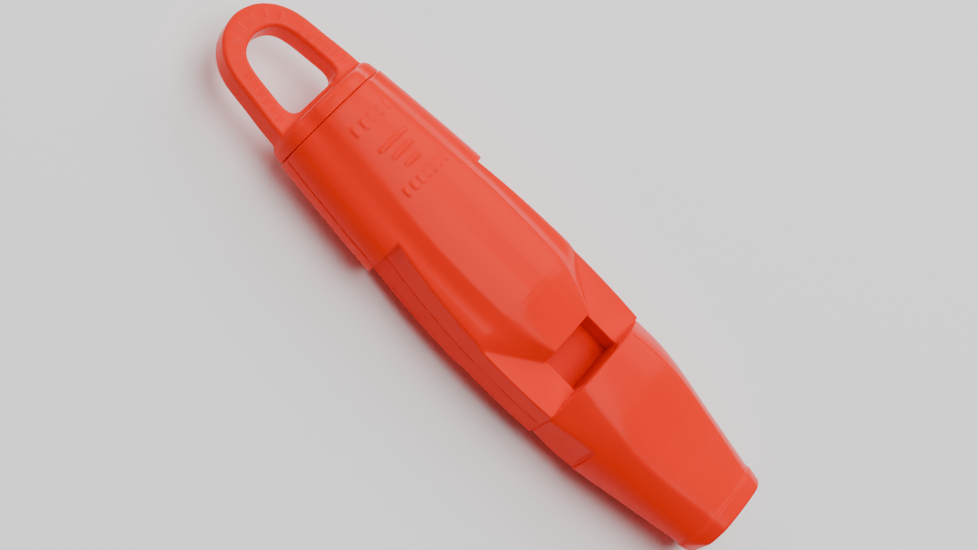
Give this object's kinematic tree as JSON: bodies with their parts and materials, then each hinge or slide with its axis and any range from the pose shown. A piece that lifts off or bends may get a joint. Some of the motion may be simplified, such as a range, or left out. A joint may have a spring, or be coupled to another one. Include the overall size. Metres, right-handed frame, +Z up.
{
  "type": "training whistle",
  "caption": "Slim flat pealess training whistle with a cord loop at one end, a flared flat mouthpiece at the other, and a sound window on top and underneath.",
  "frame": {"origin": "centre of the bounding box's underside, which is on the flat strip the whistle rests on", "axes": "+X from the cord loop toward the mouthpiece, +Y across the width, +Z up through the thickness"},
  "size_m": [0.08, 0.0192, 0.0128],
  "materials": {
    "shell": "semi-gloss moulded",
    "insert": "semi-gloss moulded"
  },
  "bodies": {
    "root": {"upper_shell": "shell", "lower_shell": "shell", "chamber_divider": "insert", "mouthpiece": "shell", "windway_core": "insert", "loop_end_cap": "shell", "upper_tuning_plug": "insert", "lower_tuning_plug": "insert"}
  },
  "joints": []
}
